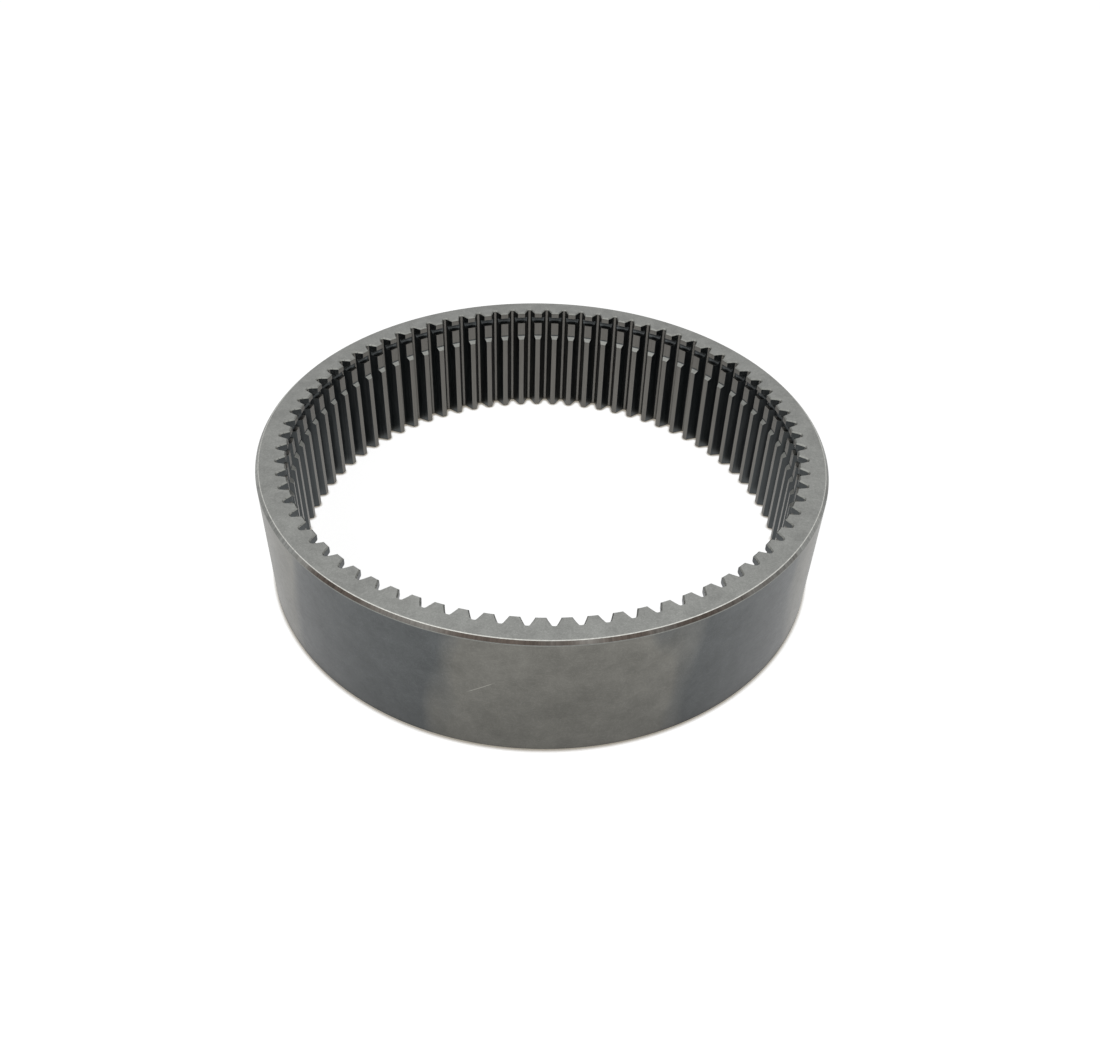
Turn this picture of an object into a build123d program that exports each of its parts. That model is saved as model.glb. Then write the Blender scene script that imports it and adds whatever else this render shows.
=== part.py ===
"""Internal ring gear of an epicyclic gear set, one piece of steel.

A plain outer cylinder carries straight involute teeth inside. The bore is turned wider
at the upper end, which leaves shorter tooth crowns there, ending in a bevel. A groove for
a round-wire retaining ring runs round that wider bore, just under the upper face.
The origin is on the axis, in the lower face. +Z is up, towards the grooved end.
"""
from build123d import *
from math import acos, cos, pi, radians, sin, tan
import os

# Gear data, millimetres and degrees
module = 3.0
tooth_count = 77
pressure_angle = 25.0
addendum_factor = 0.75
dedendum_factor = 1.10
root_corner = 0.4

# Blank
outer_diameter = 255.0
face_width = 60.0
rim_chamfer = 1.4
foot_chamfer = 0.8
crown_chamfer = 0.6

# Wider bore and retaining-ring groove at the upper end
step_depth = 1.5
step_length = 14.6
bevel_angle = 45.0
lip_height = 3.4
groove_width = 3.1
groove_depth = 3.0
groove_corner = 0.9

# Derived sizes
outer_radius = outer_diameter / 2
pitch_radius = module * tooth_count / 2
base_radius = pitch_radius * cos(radians(pressure_angle))
crown_radius = pitch_radius - addendum_factor * module
root_radius = pitch_radius + dedendum_factor * module
step_radius = crown_radius + step_depth
bevel_length = step_depth / tan(radians(bevel_angle))
step_foot = face_width - step_length
groove_radius = step_radius + groove_depth
groove_top = face_width - lip_height
groove_foot = groove_top - groove_width


def involute(angle):
    """Involute function of an angle in radians."""
    return tan(angle) - angle


def flank_point(radius, side):
    """Point on one flank of the tooth space that is centred on the X axis."""
    half_space = pi / (2 * tooth_count) + involute(radians(pressure_angle))
    half_space -= involute(acos(base_radius / radius))
    return radius * cos(half_space), side * radius * sin(half_space)


# One tooth space, open towards the axis: two involute flanks and a root land, with a
# small flat in each corner between them
mouth_radius = crown_radius - module / 2
corner_radius = root_radius - root_corner
flank_radii = (mouth_radius, (mouth_radius + corner_radius) / 2, corner_radius)
root_half_width = flank_point(root_radius, 1)[1] - root_corner
with BuildSketch() as tooth_space:
    with BuildLine():
        flanks = []
        for side in (-1, 1):
            flanks.append(Spline(*[flank_point(radius, side) for radius in flank_radii]))
        Polyline(
            flanks[0] @ 1,
            (root_radius, -root_half_width),
            (root_radius, root_half_width),
            flanks[1] @ 1,
        )
        Line(flanks[0] @ 0, flanks[1] @ 0)
    make_face()

with BuildPart() as ring_gear:
    # Turned blank: chamfered outer edges, and a bore to the full crowns that widens
    # over a bevel to the shortened crowns of the upper end
    with BuildSketch(Plane.XZ):
        with BuildLine():
            Polyline(
                (crown_radius + crown_chamfer, 0),
                (outer_radius - foot_chamfer, 0),
                (outer_radius, foot_chamfer),
                (outer_radius, face_width - rim_chamfer),
                (outer_radius - rim_chamfer, face_width),
                (step_radius + crown_chamfer, face_width),
                (step_radius, face_width - crown_chamfer),
                (step_radius, step_foot),
                (crown_radius, step_foot - bevel_length),
                (crown_radius, crown_chamfer),
                close=True,
            )
        make_face()
    revolve(axis=Axis.Z)

    # Groove for the retaining ring, its floor rounded off at both corners
    with BuildSketch(Plane.XZ):
        with BuildLine():
            Polyline(
                (crown_radius, groove_foot),
                (groove_radius - groove_corner, groove_foot),
                (groove_radius, groove_foot + groove_corner),
                (groove_radius, groove_top - groove_corner),
                (groove_radius - groove_corner, groove_top),
                (crown_radius, groove_top),
                close=True,
            )
        make_face()
    revolve(axis=Axis.Z, mode=Mode.SUBTRACT)

    # Tooth spaces, the whole way through
    with BuildSketch():
        with PolarLocations(0, tooth_count):
            add(tooth_space.sketch)
    extrude(amount=face_width, mode=Mode.SUBTRACT)

ring_gear.part.label = "ring_gear"
os.makedirs("parts", exist_ok=True)
export_step(ring_gear.part, "parts/ring_gear.step")
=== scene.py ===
"""Internal ring gear: the looks of one piece of machined steel, and its studio."""
from math import acos, atan2, cos, hypot, pi, radians, sin, tan

import bpy
from bpy.props import FloatProperty, IntProperty, PointerProperty, StringProperty
from mathutils import Matrix, Vector


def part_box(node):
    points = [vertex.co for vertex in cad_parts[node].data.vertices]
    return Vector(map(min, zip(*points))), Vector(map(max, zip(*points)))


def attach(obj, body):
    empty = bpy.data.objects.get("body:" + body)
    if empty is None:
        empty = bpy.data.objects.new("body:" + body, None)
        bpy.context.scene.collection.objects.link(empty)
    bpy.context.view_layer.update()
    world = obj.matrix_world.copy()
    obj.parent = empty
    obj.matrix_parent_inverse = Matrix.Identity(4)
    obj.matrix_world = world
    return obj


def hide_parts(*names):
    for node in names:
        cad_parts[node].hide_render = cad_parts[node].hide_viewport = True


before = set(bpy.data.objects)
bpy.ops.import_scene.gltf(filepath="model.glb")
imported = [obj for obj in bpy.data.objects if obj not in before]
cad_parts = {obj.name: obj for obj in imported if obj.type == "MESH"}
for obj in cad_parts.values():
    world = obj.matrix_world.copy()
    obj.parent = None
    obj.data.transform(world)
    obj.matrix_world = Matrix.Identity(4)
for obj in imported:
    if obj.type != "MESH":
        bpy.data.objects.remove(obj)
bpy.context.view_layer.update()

bl_info = {
    "name": "Internal Ring Gear",
    "version": (1, 0, 0),
    "blender": (4, 5, 0),
    "location": "View3D > Sidebar > Ring Gear",
    "description": "Models a toothed ring with its machined finishes, and a plain studio",
    "category": "Add Mesh",
}

MM = 0.001
SAME_PLACE = MM / 100
RING_LOW, RING_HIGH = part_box("ring_gear")


# ---------------------------------------------------------------- sizes and colours
class RingGearSizes(bpy.types.PropertyGroup):
    """Sizes of the ring gear."""

    outer_radius: FloatProperty(
        name="Outer radius",
        description="Radius of the plain outer wall",
        default=RING_HIGH.x,
        unit="LENGTH",
    )
    face_width: FloatProperty(
        name="Face width",
        description="Height of the ring along its axis",
        default=RING_HIGH.z - RING_LOW.z,
        unit="LENGTH",
    )
    module: FloatProperty(
        name="Module",
        description="Pitch diameter over the number of teeth",
        default=3.0 * MM,
        unit="LENGTH",
    )
    tooth_count: IntProperty(
        name="Teeth",
        description="Number of teeth",
        default=77,
        min=12,
    )
    pressure_angle: FloatProperty(
        name="Pressure angle",
        description="Slope of the tooth flanks at the pitch circle",
        default=radians(25),
        subtype="ANGLE",
    )
    addendum: FloatProperty(
        name="Addendum",
        description="From the pitch circle in to the full crowns",
        default=2.25 * MM,
        unit="LENGTH",
    )
    dedendum: FloatProperty(
        name="Dedendum",
        description="From the pitch circle out to the roots",
        default=3.3 * MM,
        unit="LENGTH",
    )
    root_fillet: FloatProperty(
        name="Root fillet",
        description="Radius between a flank and the root",
        default=0.45 * MM,
        unit="LENGTH",
    )
    step_depth: FloatProperty(
        name="Step depth",
        description="How much shorter the crowns are at the upper end",
        default=1.5 * MM,
        unit="LENGTH",
    )
    step_length: FloatProperty(
        name="Step length",
        description="From the upper face down to the bevel of the crowns",
        default=14.6 * MM,
        unit="LENGTH",
    )
    relief: FloatProperty(
        name="Relief",
        description="Depth and width of the turned relief line over the bevel",
        default=0.35 * MM,
        unit="LENGTH",
    )
    lip_round: FloatProperty(
        name="Lip rounding",
        description="Radius under the lip, where it runs into the groove",
        default=0.7 * MM,
        unit="LENGTH",
    )
    lip_height: FloatProperty(
        name="Lip height",
        description="From the upper face down to the groove",
        default=3.4 * MM,
        unit="LENGTH",
    )
    groove_width: FloatProperty(
        name="Groove width",
        description="Width of the retaining-ring groove",
        default=3.1 * MM,
        unit="LENGTH",
    )
    groove_depth: FloatProperty(
        name="Groove depth",
        description="Depth of the groove from the shortened crowns",
        default=3.0 * MM,
        unit="LENGTH",
    )
    rim_chamfer: FloatProperty(
        name="Rim chamfer",
        description="Chamfer of the outer edge at the upper face",
        default=1.4 * MM,
        unit="LENGTH",
    )
    foot_chamfer: FloatProperty(
        name="Foot chamfer",
        description="Chamfer of the outer edge at the lower face",
        default=0.8 * MM,
        unit="LENGTH",
    )
    tooth_end_break: FloatProperty(
        name="Tooth end break",
        description="Broken edge round the tooth outline at both faces",
        default=0.6 * MM,
        unit="LENGTH",
    )
    rim_edge_break: FloatProperty(
        name="Rim edge break",
        description="Rounding of both edges of the outer chamfers",
        default=0.22 * MM,
        unit="LENGTH",
    )
    edge_break: FloatProperty(
        name="Edge break",
        description="Fine rounding of all other sharp edges",
        default=0.12 * MM,
        unit="LENGTH",
    )


class RingGearColours(bpy.types.PropertyGroup):
    """Colours of the machined finishes, as sRGB hex."""

    face: StringProperty(name="Face", description="Ground faces", default="8D8E8B")
    wall: StringProperty(name="Wall", description="Ground outer wall", default="6E6D68")
    reflection_shade: StringProperty(name="Wall in painted shade", description="Outer wall in the darker, bluer painted reflection", default="686B6C")
    crown: StringProperty(name="Crown", description="Bored tooth crowns and the roots", default="6B6965")
    flank: StringProperty(name="Flank", description="Dark tooth flanks, also painted shade in the grooves", default="4C4F50")
    bevel: StringProperty(name="Bevel", description="Bevels and broken tooth ends", default="888985")
    chamfer: StringProperty(name="Chamfer reflection", description="Chamfer with a painted dark reflection on the -Y side", default="5A524C")
    edge: StringProperty(name="Edge", description="Edges rubbed by handling and lightened as a painted highlight", default="C4C4BF")
    backdrop: StringProperty(name="Backdrop", description="Floor and backdrop", default="FFFFFF")
    crease_shade: StringProperty(name="Crease", description="Painted shade on the floor close against the ring", default="938C80")


class RingGearStudio(bpy.types.PropertyGroup):
    """Camera and light."""

    distance: FloatProperty(
        name="Distance",
        description="Camera's distance from the ring's axis, as a multiple of the outer radius",
        default=2.7501,
    )
    height: FloatProperty(
        name="Height",
        description="Camera's height over the floor, as a multiple of the outer radius",
        default=2.4081,
    )
    tilt: FloatProperty(
        name="Tilt",
        description="How far the camera looks down",
        default=radians(35.7921),
        subtype="ANGLE",
    )
    pan: FloatProperty(
        name="Pan",
        description="How far the camera looks past the axis",
        default=radians(1.1845),
        subtype="ANGLE",
    )
    roll: FloatProperty(
        name="Roll",
        description="How far the camera leans",
        default=radians(2.2031),
        subtype="ANGLE",
    )
    turn: FloatProperty(
        name="Turn",
        description="How far the camera stands round the ring",
        default=radians(-1.4046),
        subtype="ANGLE",
    )
    lens: FloatProperty(
        name="Lens",
        description="Focal length",
        default=30.72,
        subtype="DISTANCE_CAMERA",
    )
    shift_x: FloatProperty(
        name="Shift across",
        description="Shift of the picture across, as a share of its width",
        default=-0.0091,
    )
    shift_y: FloatProperty(
        name="Shift up",
        description="Shift of the picture up, as a share of its width",
        default=-0.0714,
    )
    key_power: FloatProperty(
        name="Key power",
        description="Power of the lamp at the front left",
        default=4.0,
        unit="POWER",
    )
    fill_power: FloatProperty(
        name="Fill power",
        description="Power of the lamp at the front right",
        default=1.5,
        unit="POWER",
    )
    lamp_size: FloatProperty(
        name="Lamp size",
        description="Side of both square lamps",
        default=1.2,
        unit="LENGTH",
    )


# ---------------------------------------------------------------- modelling helpers
def leave_edit_mode():
    """Back to object mode with nothing selected."""
    if bpy.context.mode != "OBJECT":
        bpy.ops.object.mode_set(mode="OBJECT")
    bpy.ops.object.select_all(action="DESELECT")


def pick(piece):
    """Makes one piece the only selected and active one."""
    leave_edit_mode()
    piece.select_set(True)
    bpy.context.view_layer.objects.active = piece


def trace(name, points):
    """A new piece holding a closed outline, extruded from point to point."""
    leave_edit_mode()
    bpy.ops.mesh.primitive_plane_add(size=MM)
    piece = bpy.context.object
    piece.name = name
    bpy.ops.object.mode_set(mode="EDIT")
    bpy.ops.mesh.select_mode(type="VERT")
    bpy.ops.mesh.merge(type="CENTER")
    bpy.ops.transform.translate(value=points[0])
    for here, there in zip(points, points[1:]):
        bpy.ops.mesh.extrude_region_move(TRANSFORM_OT_translate={"value": there - here})
    bpy.ops.mesh.extrude_region_move(TRANSFORM_OT_translate={"value": points[0] - points[-1]})
    bpy.ops.mesh.select_all(action="SELECT")
    bpy.ops.mesh.remove_doubles(threshold=MM / 1000)
    return piece


def cut(piece, cutter):
    """Takes the cutter's solid out of the piece."""
    pick(piece)
    cutting = piece.modifiers.new("cut", "BOOLEAN")
    cutting.operation = "DIFFERENCE"
    cutting.solver = "EXACT"
    cutting.object = cutter
    bpy.ops.object.modifier_apply(modifier=cutting.name)
    bpy.data.objects.remove(cutter)


def select_edges(piece, wanted):
    """Selects the edges of the active piece, in edit mode, whose two ends and faces are wanted."""
    bpy.ops.object.mode_set(mode="OBJECT")
    mesh = piece.data
    normals = {}
    for face in mesh.polygons:
        for key in face.edge_keys:
            normals.setdefault(key, []).append(face.normal.copy())
    for face in mesh.polygons:
        face.select = False
    for vertex in mesh.vertices:
        vertex.select = False
    for edge in mesh.edges:
        ends = [mesh.vertices[index].co for index in edge.vertices]
        sides = normals.get(tuple(sorted(edge.vertices)), [])
        edge.select = len(sides) == 2 and wanted(ends, sides)
    bpy.ops.object.mode_set(mode="EDIT")
    bpy.ops.mesh.select_mode(type="EDGE")


# ---------------------------------------------------------------- the ring gear
class ToothForm:
    """Radii and outlines of the gear teeth, from the sizes."""

    def __init__(self, sizes):
        self.sizes = sizes
        self.pitch_angle = 2 * pi / sizes.tooth_count
        self.pitch_radius = sizes.module * sizes.tooth_count / 2
        self.base_radius = self.pitch_radius * cos(sizes.pressure_angle)
        self.crown_radius = self.pitch_radius - sizes.addendum
        self.step_radius = self.crown_radius + sizes.step_depth
        self.root_radius = self.pitch_radius + sizes.dedendum

    def half_space(self, radius):
        """Half the angle of a tooth space at a radius."""
        slope = acos(self.base_radius / radius)
        at_pitch = tan(self.sizes.pressure_angle) - self.sizes.pressure_angle
        return self.pitch_angle / 4 + at_pitch - (tan(slope) - slope)

    def space_outline(self, height):
        """Closed outline of one tooth space, centred on the X axis."""
        fillet = self.sizes.root_fillet
        # The outline starts inside the crowns, so that the cut comes out clear of them.
        mouth = self.crown_radius - self.sizes.module / 2
        foot = self.root_radius - fillet
        flank_steps = 8
        fillet_steps = 4
        upper = []
        for step in range(flank_steps + 1):
            radius = mouth + (foot - mouth) * step / flank_steps
            upper.append((radius, radius * sin(self.half_space(radius))))
        slope = atan2(upper[-1][1] - upper[-2][1], upper[-1][0] - upper[-2][0])
        start = upper[-1]
        corner = (self.root_radius, start[1] + fillet * tan(slope))
        end = (self.root_radius, corner[1] - fillet / cos(slope))
        for step in range(1, fillet_steps + 1):
            share = step / fillet_steps
            x = (1 - share) ** 2 * start[0] + 2 * share * (1 - share) * corner[0] + share**2 * end[0]
            y = (1 - share) ** 2 * start[1] + 2 * share * (1 - share) * corner[1] + share**2 * end[1]
            upper.append((x, y))
        points = [Vector((x, y, height)) for x, y in upper]
        points += [Vector((x, -y, height)) for x, y in reversed(upper)]
        return points


def turned_section(form):
    """Closed outline of the turned ring's section, in the XZ plane."""
    sizes = form.sizes
    top = sizes.face_width
    outer = sizes.outer_radius
    step_foot = top - sizes.step_length
    groove_round = sizes.groove_width / 2
    groove_middle = top - sizes.lip_height - groove_round
    groove_straight = form.step_radius + sizes.groove_depth - groove_round
    points = [
        (form.crown_radius, 0),
        (outer - sizes.foot_chamfer, 0),
        (outer, sizes.foot_chamfer),
        (outer, top - sizes.rim_chamfer),
        (outer - sizes.rim_chamfer, top),
        (form.step_radius, top),
    ]
    lip_round = sizes.lip_round
    lip_steps = 4
    for step in range(lip_steps + 1):
        angle = pi / 2 * step / lip_steps
        x = form.step_radius + lip_round * (1 - cos(angle))
        points.append((x, top - sizes.lip_height + lip_round * (1 - sin(angle))))
    groove_steps = 8
    for step in range(groove_steps + 1):
        angle = pi / 2 - pi * step / groove_steps
        across = groove_straight + groove_round * cos(angle)
        points.append((across, groove_middle + groove_round * sin(angle)))
    points += [
        (form.step_radius, groove_middle - groove_round),
        (form.step_radius, step_foot + sizes.relief * 2),
        (form.step_radius + sizes.relief, step_foot + sizes.relief),
        (form.step_radius, step_foot),
        (form.crown_radius, step_foot - sizes.step_depth),
    ]
    return [Vector((x, 0, z)) for x, z in points]


def model_pitch(form):
    """One pitch of the ring, with a tooth space in its middle and plain ends."""
    half = form.pitch_angle / 2
    sizes = form.sizes
    arc_steps = 6
    pitch = trace("ring_gear_body", turned_section(form))
    bpy.ops.transform.rotate(value=half, orient_axis="Z", center_override=(0, 0, 0))
    bpy.ops.mesh.spin(steps=arc_steps, angle=-form.pitch_angle, center=(0, 0, 0), axis=(0, 0, 1))
    bpy.ops.mesh.select_mode(type="EDGE")
    bpy.ops.mesh.select_non_manifold(extend=False)
    bpy.ops.mesh.edge_face_add()
    bpy.ops.mesh.select_all(action="SELECT")
    bpy.ops.mesh.normals_make_consistent(inside=False)

    space = trace("tooth_space", form.space_outline(-sizes.module))
    bpy.ops.mesh.edge_face_add()
    rise = Vector((0, 0, sizes.face_width + 2 * sizes.module))
    bpy.ops.mesh.extrude_region_move(TRANSFORM_OT_translate={"value": rise})
    bpy.ops.mesh.select_all(action="SELECT")
    bpy.ops.mesh.normals_make_consistent(inside=False)
    leave_edit_mode()
    cut(pitch, space)
    return pitch


def repeat_pitch(ring, form):
    """Turns one pitch into the whole ring, and joins the pitches into one skin."""
    half = form.pitch_angle / 2
    end_error = half / 1000
    pick(ring)
    bpy.ops.object.mode_set(mode="EDIT")
    bpy.ops.mesh.select_mode(type="FACE")
    bpy.ops.mesh.select_all(action="DESELECT")
    bpy.ops.object.mode_set(mode="OBJECT")
    for face in ring.data.polygons:
        ends = [ring.data.vertices[index].co for index in face.vertices]
        face.select = all(abs(abs(atan2(end.y, end.x)) - half) < end_error for end in ends)
    bpy.ops.object.mode_set(mode="EDIT")
    bpy.ops.mesh.delete(type="ONLY_FACE")
    bpy.ops.mesh.select_all(action="SELECT")
    others = form.sizes.tooth_count - 1
    bpy.ops.mesh.spin(
        steps=others,
        dupli=True,
        angle=-others * form.pitch_angle,
        center=(0, 0, 0),
        axis=(0, 0, 1),
    )
    bpy.ops.mesh.select_all(action="SELECT")
    bpy.ops.mesh.remove_doubles(threshold=MM / 200)
    bpy.ops.mesh.normals_make_consistent(inside=False)


def is_sharp(sides):
    """Whether two faces meet at an edge and not on a curve."""
    steepest_curve = radians(28)
    return sides[0].angle(sides[1], 0) > steepest_curve


def break_edges(ring, form):
    """Breaks the edges: wide round the tooth outline at both ends, fine elsewhere."""
    sizes = form.sizes
    tooth_zone = form.root_radius + sizes.module / 4
    clear = sizes.tooth_end_break / 2

    def inside(ends):
        return all(hypot(end.x, end.y) < tooth_zone for end in ends)

    def outside(ends):
        return all(hypot(end.x, end.y) > tooth_zone for end in ends)

    def at_tooth_end(ends, sides):
        level = ends[0].z
        at_face = min(abs(level), abs(level - sizes.face_width)) < SAME_PLACE
        return inside(ends) and at_face and abs(ends[1].z - level) < SAME_PLACE and is_sharp(sides)

    select_edges(ring, at_tooth_end)
    bpy.ops.mesh.bevel(offset=sizes.tooth_end_break, segments=1, affect="EDGES")

    def between_ends(ends, sides):
        between = all(clear < end.z < sizes.face_width - clear for end in ends)
        return inside(ends) and between and is_sharp(sides)

    select_edges(ring, between_ends)
    bpy.ops.mesh.bevel(offset=sizes.edge_break, segments=2, affect="EDGES")
    select_edges(ring, lambda ends, sides: outside(ends) and is_sharp(sides))
    bpy.ops.mesh.bevel(offset=sizes.rim_edge_break, segments=2, affect="EDGES")


def smooth(ring):
    """Smooth shading over curves and fine roundings, with flats kept flat."""
    steepest_curve = radians(32)
    pick(ring)
    bpy.ops.object.shade_smooth_by_angle(angle=steepest_curve)
    weighting = ring.modifiers.new("weighting", "WEIGHTED_NORMAL")
    weighting.keep_sharp = True
    bpy.ops.object.modifier_apply(modifier=weighting.name)


# ---------------------------------------------------------------- finishes
# Most of a noise pattern lies between these two values.
NOISE_LOW = 0.3
NOISE_HIGH = 0.7


def linear(hex_colour):
    """An sRGB hex colour as linear red, green, blue and alpha."""
    channels = [int(hex_colour[place : place + 2], 16) / 255 for place in (0, 2, 4)]
    straight = [c / 12.92 if c <= 0.04045 else ((c + 0.055) / 1.055) ** 2.4 for c in channels]
    return (*straight, 1.0)


def add(tree, kind, inputs=None, **settings):
    """Adds a node with its settings; inputs are values, or sockets to link from."""
    node = tree.nodes.new(kind)
    for name, value in settings.items():
        setattr(node, name, value)
    for name, value in (inputs or {}).items():
        if isinstance(value, bpy.types.NodeSocket):
            tree.links.new(value, node.inputs[name])
        else:
            node.inputs[name].default_value = value
    return node


def new_finish(name):
    """An empty node material, and its tree."""
    finish = bpy.data.materials.new(name)
    finish.use_nodes = True
    finish.node_tree.nodes.clear()
    return finish, finish.node_tree


def turned_marks(tree, along, across, detail, rough):
    """Random marks from 0 to 1 that run round the ring's axis.

    A mark is `along` long round the ring and `across` wide up it or out from it."""
    mean_radius = 120 * MM
    place = add(tree, "ShaderNodeTexCoord").outputs["Object"]
    split = add(tree, "ShaderNodeSeparateXYZ", {0: place})
    flat = add(tree, "ShaderNodeCombineXYZ", {0: split.outputs[0], 1: split.outputs[1]}).outputs[0]
    radius = add(tree, "ShaderNodeVectorMath", {0: flat}, operation="LENGTH").outputs["Value"]
    way = add(tree, "ShaderNodeVectorMath", {0: flat}, operation="NORMALIZE").outputs[0]
    scale = mean_radius / along
    round_ring = add(tree, "ShaderNodeVectorMath", {0: way, "Scale": scale}, operation="SCALE").outputs[0]
    section = add(tree, "ShaderNodeMath", {0: radius, 1: split.outputs[2]}, operation="ADD").outputs[0]
    section = add(tree, "ShaderNodeMath", {0: section, 1: 1 / across}, operation="MULTIPLY").outputs[0]
    lift = add(tree, "ShaderNodeCombineXYZ", {2: section}).outputs[0]
    where = add(tree, "ShaderNodeVectorMath", {0: round_ring, 1: lift}, operation="ADD").outputs[0]
    return add(
        tree,
        "ShaderNodeTexNoise",
        {"Vector": where, "Scale": 1.0, "Detail": detail, "Roughness": rough},
    ).outputs["Fac"]


def marks(tree, width, height, detail=2.0, rough=0.5, distortion=0.0):
    """Random marks from 0 to 1, of the given width and height on the ring."""
    place = add(tree, "ShaderNodeTexCoord").outputs["Object"]
    scale = (1 / width, 1 / width, 1 / height)
    where = add(tree, "ShaderNodeMapping", {"Vector": place, "Scale": scale}).outputs[0]
    return add(
        tree,
        "ShaderNodeTexNoise",
        {"Vector": where, "Scale": 1.0, "Detail": detail, "Roughness": rough, "Distortion": distortion},
    ).outputs["Fac"]


def shaded_by(tree, tone, pattern, at_low, at_high, low=NOISE_LOW, high=NOISE_HIGH):
    """A tone times a pattern's own tone, which runs from at_low to at_high as the pattern rises."""
    own_tone = add(
        tree,
        "ShaderNodeMapRange",
        {"Value": pattern, "From Min": low, "From Max": high, "To Min": at_low, "To Max": at_high},
    ).outputs["Result"]
    return add(tree, "ShaderNodeMath", {0: tone, 1: own_tone}, operation="MULTIPLY").outputs[0]


def bare_steel(tree, colour, tone, polish, dulling, relief, depth):
    """A bare steel surface: a colour times a tone.

    Its roughness runs over the two values of `polish` as the dulling pattern rises, and the relief pattern
    stands `depth` high."""
    smoothest, dullest = polish
    shade = add(tree, "ShaderNodeVectorMath", {0: colour, "Scale": tone}, operation="SCALE").outputs[0]
    roughness = add(
        tree,
        "ShaderNodeMapRange",
        {
            "Value": dulling,
            "From Min": NOISE_LOW,
            "From Max": NOISE_HIGH,
            "To Min": smoothest,
            "To Max": dullest,
        },
    ).outputs["Result"]
    normal = add(tree, "ShaderNodeBump", {"Height": relief, "Strength": 1.0, "Distance": depth}).outputs[0]
    surface = add(
        tree,
        "ShaderNodeBsdfPrincipled",
        {"Base Color": shade, "Metallic": 1.0, "Roughness": roughness, "Normal": normal},
    )
    add(tree, "ShaderNodeOutputMaterial", {"Surface": surface.outputs[0]})


def curled_marks(tree, size):
    """Fine curled scratches, as left by wiping and stacking: 1 on a scratch and 0 beside it."""
    half_width = 0.05
    curl = marks(tree, size, size, detail=2.0, rough=0.6, distortion=3.0)
    beside = add(tree, "ShaderNodeMath", {0: curl, 1: 0.5}, operation="SUBTRACT").outputs[0]
    beside = add(tree, "ShaderNodeMath", {0: beside}, operation="ABSOLUTE").outputs[0]
    return add(
        tree,
        "ShaderNodeMapRange",
        {"Value": beside, "From Max": half_width, "To Min": 1.0, "To Max": 0.0},
    ).outputs["Result"]


def wall_scratch(tree, start, end, width):
    """One straight scratch on the wall's -Y side: 1 on it and 0 beside it.

    Its two ends are given across the ring and up it."""
    solid_share = 0.6
    front_only = -10 * MM
    middle = ((start[0] + end[0]) / 2, (start[1] + end[1]) / 2, 0)
    slope = atan2(end[1] - start[1], end[0] - start[0])
    length = hypot(end[0] - start[0], end[1] - start[1])
    place = add(tree, "ShaderNodeTexCoord").outputs["Object"]
    split = add(tree, "ShaderNodeSeparateXYZ", {0: place})
    flat = add(tree, "ShaderNodeCombineXYZ", {0: split.outputs[0], 1: split.outputs[2]}).outputs[0]
    turned = add(
        tree,
        "ShaderNodeMapping",
        {"Vector": flat, "Location": middle, "Rotation": (0, 0, slope)},
        vector_type="TEXTURE",
    ).outputs[0]
    parts = add(tree, "ShaderNodeSeparateXYZ", {0: turned})
    on_scratch = 1.0
    for axis, reach in ((0, length / 2), (1, width / 2)):
        away = add(tree, "ShaderNodeMath", {0: parts.outputs[axis]}, operation="ABSOLUTE").outputs[0]
        on_scratch = shaded_by(tree, on_scratch, away, 1.0, 0.0, low=reach * solid_share, high=reach)
    return shaded_by(tree, on_scratch, split.outputs[1], 0.0, 1.0, low=0.0, high=front_only)


def round_patches(tree, count, lead):
    """Broad upright patches, evenly round the ring with drifting borders: from -1 to 1."""
    drift = marks(tree, 35 * MM, 120 * MM)
    drift = add(
        tree,
        "ShaderNodeMapRange",
        {"Value": drift, "From Min": NOISE_LOW, "From Max": NOISE_HIGH, "To Min": -0.7, "To Max": 0.7},
    ).outputs["Result"]
    place = add(tree, "ShaderNodeTexCoord").outputs["Object"]
    split = add(tree, "ShaderNodeSeparateXYZ", {0: place})
    ends = {0: split.outputs[1], 1: split.outputs[0]}
    angle = add(tree, "ShaderNodeMath", ends, operation="ARCTAN2").outputs[0]
    turn = add(tree, "ShaderNodeMath", {0: angle, 1: count, 2: lead}, operation="MULTIPLY_ADD").outputs[0]
    turn = add(tree, "ShaderNodeMath", {0: turn, 1: drift}, operation="ADD").outputs[0]
    return add(tree, "ShaderNodeMath", {0: turn}, operation="COSINE").outputs[0]


def ground_face(colours):
    """Surface-ground alloy steel, wiped and stacked: an even light grey, faintly mottled, with curled marks.

    The grinding marks are too fine to show, so the specks are drawn at nearly 1 mm."""
    finish, tree = new_finish("ground_steel_face")
    mottle = marks(tree, 9 * MM, 9 * MM, detail=4.0, rough=0.65, distortion=0.6)
    curls = curled_marks(tree, 4 * MM)
    specks = marks(tree, 0.9 * MM, 0.9 * MM, detail=2.0, rough=0.7)
    tone = shaded_by(tree, 1.0, mottle, 0.86, 1.14)
    tone = shaded_by(tree, tone, curls, 0.97, 1.12, low=0.0, high=1.0)
    tone = shaded_by(tree, tone, specks, 0.92, 1.08)
    colour = linear(colours.face)[:3]
    bare_steel(tree, colour, tone, (0.36, 0.46), dulling=mottle, relief=specks, depth=0.004 * MM)
    return finish


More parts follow.
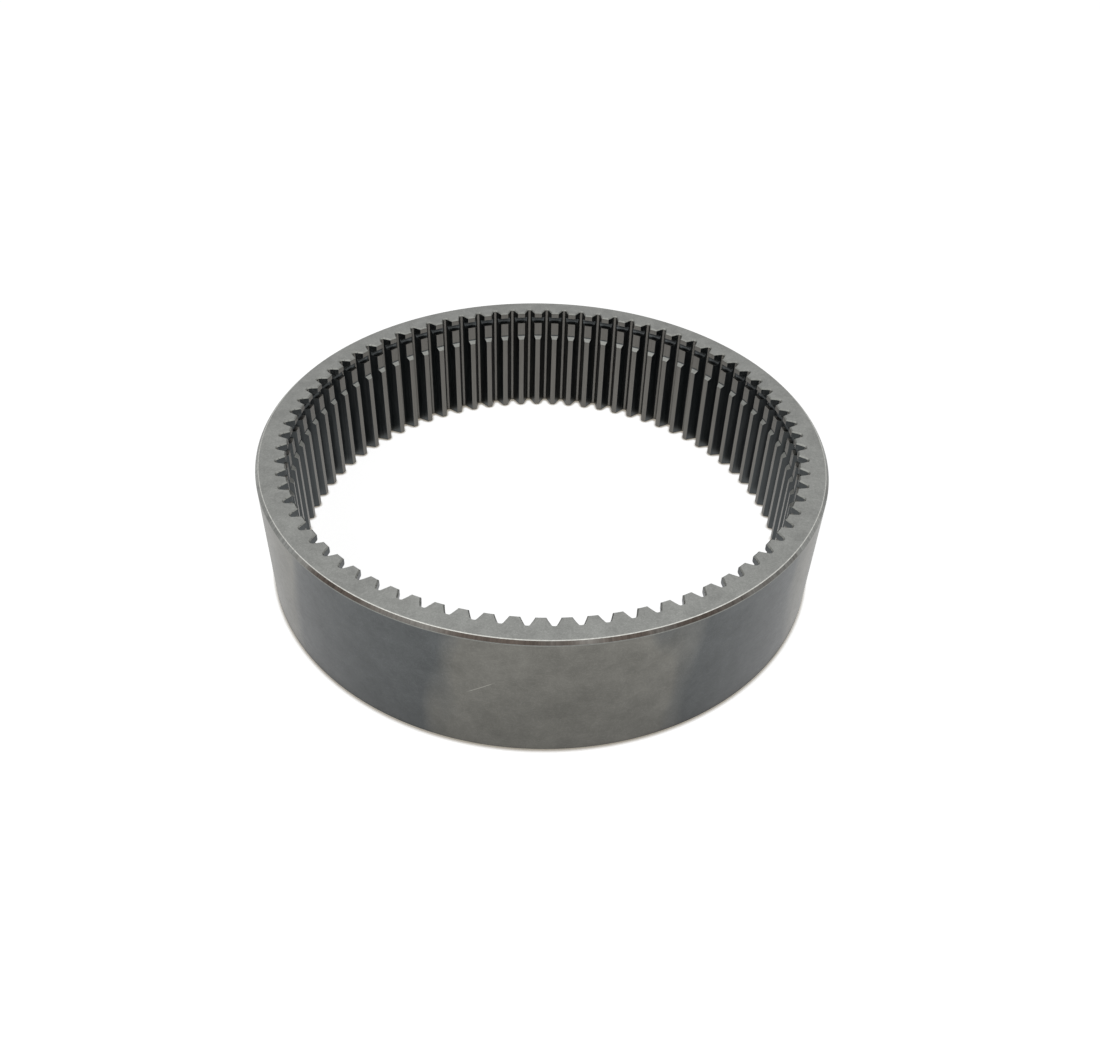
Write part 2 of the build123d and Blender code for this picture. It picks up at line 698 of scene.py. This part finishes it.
def ground_wall(colours):
    """Cylindrically ground alloy steel, satin, with a painted reflection round it: broad lighter patches,
    the lightest towards the camera on the -Y side, and darker, bluer ones between.

    A painted shade darkens the wall towards its foot. Grinding marks run round it, drawn at half a
    millimetre to show."""
    finish, tree = new_finish("ground_steel_wall")
    # Painted reflection: broad patches round the wall, lightest towards the camera on the -Y side, darker
    # and bluer between.
    reflection_patches = 5
    foot_shade_height = 55 * MM
    painted_reflection_lobes = round_patches(tree, reflection_patches, radians(90 * reflection_patches - 10))
    reflection_lit = add(
        tree,
        "ShaderNodeMapRange",
        {"Value": painted_reflection_lobes, "From Min": -0.45, "From Max": 0.15},
    ).outputs["Result"]
    patches = marks(tree, 12 * MM, 12 * MM, detail=5.0, rough=0.7)
    curls = curled_marks(tree, 5 * MM)
    grain = turned_marks(tree, 3 * MM, 0.5 * MM, detail=4.0, rough=0.65)
    place = add(tree, "ShaderNodeTexCoord").outputs["Object"]
    height = add(tree, "ShaderNodeSeparateXYZ", {0: place}).outputs[2]
    tone = shaded_by(tree, 1.0, reflection_lit, 0.66, 1.04, low=0.0, high=1.0)
    tone = shaded_by(tree, tone, patches, 0.84, 1.16)
    tone = shaded_by(tree, tone, curls, 0.98, 1.12, low=0.0, high=1.0)
    tone = shaded_by(tree, tone, grain, 0.94, 1.06)
    # Painted shade: the wall darkens towards its foot.
    tone = shaded_by(tree, tone, height, 0.66, 1.05, low=0.0, high=foot_shade_height)
    foot = (-29.4 * MM, 30.1 * MM)
    head = (-18.6 * MM, 37.6 * MM)
    scratch = wall_scratch(tree, foot, head, width=0.4 * MM)
    gleam = {0: scratch, 1: 0.8, 2: tone}
    tone = add(tree, "ShaderNodeMath", gleam, operation="MULTIPLY_ADD").outputs[0]
    colour = add(
        tree,
        "ShaderNodeMix",
        {0: reflection_lit, 6: linear(colours.reflection_shade), 7: linear(colours.wall)},
        data_type="RGBA",
    ).outputs[2]
    bare_steel(tree, colour, tone, (0.32, 0.42), dulling=grain, relief=grain, depth=0.003 * MM)
    return finish


def turned_bevel(colours):
    """Freshly turned steel of the bevels and broken tooth ends: light grey, with fine flecks."""
    finish, tree = new_finish("turned_steel_bevel")
    flecks = marks(tree, 1.2 * MM, 1.2 * MM, detail=3.0, rough=0.7)
    tone = shaded_by(tree, 1.0, flecks, 0.8, 1.15)
    colour = linear(colours.bevel)[:3]
    bare_steel(tree, colour, tone, (0.34, 0.46), dulling=flecks, relief=flecks, depth=0.004 * MM)
    return finish


def bored_crown(colours):
    """Bored steel of the crowns and roots: satin, with faint cutter streaks up the teeth."""
    finish, tree = new_finish("bored_steel_crown")
    streaks = marks(tree, 0.6 * MM, 18 * MM, detail=3.0, rough=0.6)
    tone = shaded_by(tree, 1.0, streaks, 0.84, 1.16)
    colour = linear(colours.crown)[:3]
    bare_steel(tree, colour, tone, (0.34, 0.46), dulling=streaks, relief=streaks, depth=0.004 * MM)
    return finish


def shaped_flank(colours):
    """Gear-shaped steel of the flanks, darker than the crowns: nearly black, with a low sheen and long
    streaks. The grooves take it too, as painted shade.
    """
    finish, tree = new_finish("shaped_steel_flank")
    streaks = marks(tree, 1.2 * MM, 25 * MM, detail=3.0, rough=0.6)
    tone = shaded_by(tree, 1.0, streaks, 0.8, 1.2)
    colour = linear(colours.flank)[:3]
    bare_steel(tree, colour, tone, (0.3, 0.42), dulling=streaks, relief=streaks, depth=0.003 * MM)
    return finish


def turned_chamfer(colours):
    """Turned steel chamfer, flecked by the tool: grey, with a painted dark brownish reflection on the -Y
    side, towards the camera.
    """
    finish, tree = new_finish("turned_steel_chamfer")
    flecks = turned_marks(tree, 1.5 * MM, 0.4 * MM, detail=3.0, rough=0.7)
    patches = marks(tree, 40 * MM, 40 * MM)
    # Painted reflection: the chamfer turns dark brown on the -Y side, which faces the camera.
    reflection_side = round_patches(tree, 1, radians(90))
    painted_reflection = add(
        tree,
        "ShaderNodeMapRange",
        {"Value": reflection_side, "From Min": 0.4, "From Max": 0.95},
    ).outputs["Result"]
    tone = shaded_by(tree, 1.0, flecks, 0.7, 1.3)
    tone = shaded_by(tree, tone, patches, 0.8, 1.25, low=0.35, high=0.65)
    colour = add(
        tree,
        "ShaderNodeMix",
        {0: painted_reflection, 6: linear(colours.face), 7: linear(colours.chamfer)},
        data_type="RGBA",
    ).outputs[2]
    bare_steel(tree, colour, tone, (0.36, 0.5), dulling=flecks, relief=flecks, depth=0.006 * MM)
    return finish


def rubbed_highlit_edge(colours):
    """Steel edges rubbed by handling and lightened further as a painted highlight: the lightest part, with
    worn flecks.
    """
    finish, tree = new_finish("rubbed_steel_edge_highlight")
    flecks = marks(tree, 1.5 * MM, 1.5 * MM, detail=3.0, rough=0.7)
    tone = shaded_by(tree, 1.0, flecks, 0.75, 1.2)
    colour = linear(colours.edge)[:3]
    bare_steel(tree, colour, tone, (0.3, 0.45), dulling=flecks, relief=flecks, depth=0.004 * MM)
    return finish


FINISHES = {
    "crown": bored_crown,
    "flank": shaped_flank,
    "face": ground_face,
    "wall": ground_wall,
    "chamfer": turned_chamfer,
    "edge": rubbed_highlit_edge,
    "bevel": turned_bevel,
}


def dress(ring, form, colours):
    """Gives the ring its finishes, face by face."""
    kinds = list(FINISHES)
    for finish in FINISHES.values():
        ring.data.materials.append(finish(colours))
    for face in ring.data.polygons:
        face.material_index = kinds.index(kind_of_face(face, form))


def kind_of_face(face, form):
    """Which finish a face of the ring has, by its place and the way it faces."""
    sizes = form.sizes
    place = face.center
    radius = hypot(place.x, place.y)
    outward = (face.normal.x * place.x + face.normal.y * place.y) / radius
    rise = abs(face.normal.z)
    above = sizes.face_width - place.z
    level = rise > 0.99
    sloped = rise > 0.3
    upright = rise < 0.02
    if level and min(above, place.z) < SAME_PLACE:
        return "face"
    if radius > form.root_radius + sizes.module / 4:
        if upright:
            return "wall"
        # A chamfer stands at 45 degrees. Its rounding beside a face rises more; it is rubbed by handling and
        # lightened as a painted highlight.
        # The rounding beside the wall takes the lighter bevel finish, also a painted highlight.
        chamfer_rise = sin(pi / 4)
        if abs(rise - chamfer_rise) < 0.06:
            return "chamfer"
        return "edge" if rise > chamfer_rise else "bevel"
    if above < sizes.tooth_end_break and sloped:
        return "bevel"
    # Painted shade: the turned relief line and the groove take the dark flank finish.
    if sizes.step_length - 2 * sizes.relief < above < sizes.step_length:
        return "flank"
    in_groove = sizes.lip_height < above < sizes.lip_height + sizes.groove_width
    if in_groove and radius > form.step_radius + MM / 5:
        return "flank"
    bevel_middle = sizes.step_length + sizes.step_depth / 2
    if sloped and abs(above - bevel_middle) < sizes.step_depth * 0.6:
        return "bevel"
    faces_bore = abs(outward) > 0.75
    return "crown" if faces_bore or sloped else "flank"


class RINGGEAR_OT_model_ring(bpy.types.Operator):
    """Model the toothed ring and give it its machined finishes"""

    bl_idname = "ringgear.model_ring"
    bl_label = "Ring gear"

    def execute(self, context):
        form = ToothForm(context.scene.ring_gear_sizes)
        ring = model_pitch(form)
        repeat_pitch(ring, form)
        break_edges(ring, form)
        smooth(ring)
        dress(ring, form, context.scene.ring_gear_colours)
        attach(ring, "root")
        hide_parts("ring_gear")
        return {"FINISHED"}


# ---------------------------------------------------------------- the studio
def seen_directly(tree):
    """1 for rays from the camera and for mirror and see-through rays, and 0 for others."""
    path = add(tree, "ShaderNodeLightPath")
    seen = path.outputs["Is Camera Ray"]
    for name in ("Is Glossy Ray", "Is Transmission Ray"):
        seen = add(tree, "ShaderNodeMath", {0: seen, 1: path.outputs[name]}, operation="MAXIMUM").outputs[0]
    return seen


def light_world(colours):
    """A white surround that lights softly. Metal sees it brighter overhead than at its sides."""
    soft_strength = 0.1
    world = bpy.data.worlds.new("studio_world")
    world.use_nodes = True
    tree = world.node_tree
    tree.nodes.clear()
    way = add(tree, "ShaderNodeTexCoord").outputs["Generated"]
    height = add(tree, "ShaderNodeSeparateXYZ", {0: way}).outputs[2]
    mirrored = add(tree, "ShaderNodeLightPath").outputs["Is Glossy Ray"]
    overhead = shaded_by(tree, mirrored, height, -0.26, 0.3, low=0.4, high=0.8)
    seen = {"Value": seen_directly(tree), "To Min": soft_strength}
    strength = add(tree, "ShaderNodeMapRange", seen).outputs["Result"]
    strength = add(tree, "ShaderNodeMath", {0: strength, 1: overhead}, operation="ADD").outputs[0]
    sky = add(tree, "ShaderNodeBackground", {"Color": linear(colours.backdrop), "Strength": strength})
    add(tree, "ShaderNodeOutputWorld", {"Surface": sky.outputs[0]})
    bpy.context.scene.world = world


def painted_floor(colours):
    """Matt white paint that shows white to the camera, with the ring's shadow, and a painted dark, brownish
    shade on the floor close under the ring.
    """
    glow_strength = 0.9
    finish, tree = new_finish("painted_floor")
    colour = linear(colours.backdrop)
    matt = add(tree, "ShaderNodeBsdfDiffuse", {"Color": colour})
    # Painted shade: the floor's glow darkens and turns brownish close against the ring.
    open_floor = add(tree, "ShaderNodeAmbientOcclusion", {"Distance": 2.2 * MM}, samples=8).outputs["AO"]
    open_floor = add(
        tree,
        "ShaderNodeMapRange",
        {"Value": open_floor, "From Min": 0.5, "From Max": 0.85},
    ).outputs["Result"]
    tint = add(
        tree,
        "ShaderNodeMix",
        {0: open_floor, 6: linear(colours.crease_shade), 7: colour},
        data_type="RGBA",
    ).outputs[2]
    seen = {0: seen_directly(tree), 1: glow_strength}
    strength = add(tree, "ShaderNodeMath", seen, operation="MULTIPLY").outputs[0]
    glow = add(tree, "ShaderNodeEmission", {"Color": tint, "Strength": strength})
    both = add(tree, "ShaderNodeAddShader", {0: matt.outputs[0], 1: glow.outputs[0]})
    add(tree, "ShaderNodeOutputMaterial", {"Surface": both.outputs[0]})
    return finish


def lay_floor(colours):
    """A plain pale floor under the ring."""
    leave_edit_mode()
    bpy.ops.mesh.primitive_circle_add(vertices=64, radius=6.0, fill_type="NGON")
    floor = bpy.context.object
    floor.name = "studio_floor"
    floor.data.materials.append(painted_floor(colours))


def hang_lamp(name, place, size, power):
    """A square soft lamp that faces the foot of the ring's axis, at the origin."""
    leave_edit_mode()
    bpy.ops.object.light_add(type="AREA", location=place)
    lamp = bpy.context.object
    lamp.name = name
    lamp.data.size = size
    lamp.data.energy = power
    lamp.rotation_euler = (-Vector(place)).to_track_quat("-Z", "Y").to_euler()


def set_camera(studio, sizes):
    """The camera, from its distance, height and angles."""
    level_share = cos(studio.tilt)
    ahead = Vector((sin(studio.pan) * level_share, cos(studio.pan) * level_share, -sin(studio.tilt)))
    across = Vector((cos(studio.pan), -sin(studio.pan), 0))
    above = across.cross(ahead)
    right = cos(studio.roll) * across + sin(studio.roll) * above
    up = cos(studio.roll) * above - sin(studio.roll) * across
    stand = Vector((0, -studio.distance, studio.height)) * sizes.outer_radius
    turn = Matrix.Rotation(studio.turn, 4, "Z")
    bpy.ops.object.camera_add()
    camera = bpy.context.object
    camera.name = "studio_camera"
    facing = Matrix((right, up, -ahead)).transposed().to_4x4()
    camera.matrix_world = turn @ Matrix.Translation(stand) @ facing
    camera.data.lens = studio.lens
    camera.data.sensor_width = 36
    camera.data.shift_x = studio.shift_x
    camera.data.shift_y = studio.shift_y
    camera.data.clip_start = 0.01
    camera.data.dof.use_dof = False
    bpy.context.scene.camera = camera


class RINGGEAR_OT_set_studio(bpy.types.Operator):
    """Set up the floor, the soft light and the camera"""

    bl_idname = "ringgear.set_studio"
    bl_label = "Studio"

    def execute(self, context):
        scene = context.scene
        studio = scene.ring_gear_studio
        lay_floor(scene.ring_gear_colours)
        light_world(scene.ring_gear_colours)
        hang_lamp("key_lamp", (-1.2, -0.9, 1.6), studio.lamp_size, studio.key_power)
        hang_lamp("fill_lamp", (1.3, -0.4, 1.4), studio.lamp_size, studio.fill_power)
        set_camera(studio, scene.ring_gear_sizes)
        scene.view_settings.view_transform = "Standard"
        return {"FINISHED"}


class RINGGEAR_PT_panel(bpy.types.Panel):
    """Lists the pieces and the studio"""

    bl_label = "Ring Gear"
    bl_idname = "RINGGEAR_PT_panel"
    bl_space_type = "VIEW_3D"
    bl_region_type = "UI"
    bl_category = "Ring Gear"

    def draw(self, context):
        column = self.layout.column()
        for step in STEPS:
            column.operator(step.bl_idname)


STEPS = (RINGGEAR_OT_model_ring, RINGGEAR_OT_set_studio)
CLASSES = (RingGearSizes, RingGearColours, RingGearStudio, *STEPS, RINGGEAR_PT_panel)


def register():
    """Registers the classes and hangs the settings on the scene."""
    for each in CLASSES:
        bpy.utils.register_class(each)
    bpy.types.Scene.ring_gear_sizes = PointerProperty(type=RingGearSizes)
    bpy.types.Scene.ring_gear_colours = PointerProperty(type=RingGearColours)
    bpy.types.Scene.ring_gear_studio = PointerProperty(type=RingGearStudio)


def unregister():
    """Takes the settings off the scene and the classes out."""
    del bpy.types.Scene.ring_gear_studio
    del bpy.types.Scene.ring_gear_colours
    del bpy.types.Scene.ring_gear_sizes
    for each in reversed(CLASSES):
        bpy.utils.unregister_class(each)


def main():
    """Registers the add-on and builds everything."""
    register()
    bpy.ops.ringgear.model_ring()
    bpy.ops.ringgear.set_studio()
    leave_edit_mode()


if __name__ == "__main__":
    main()
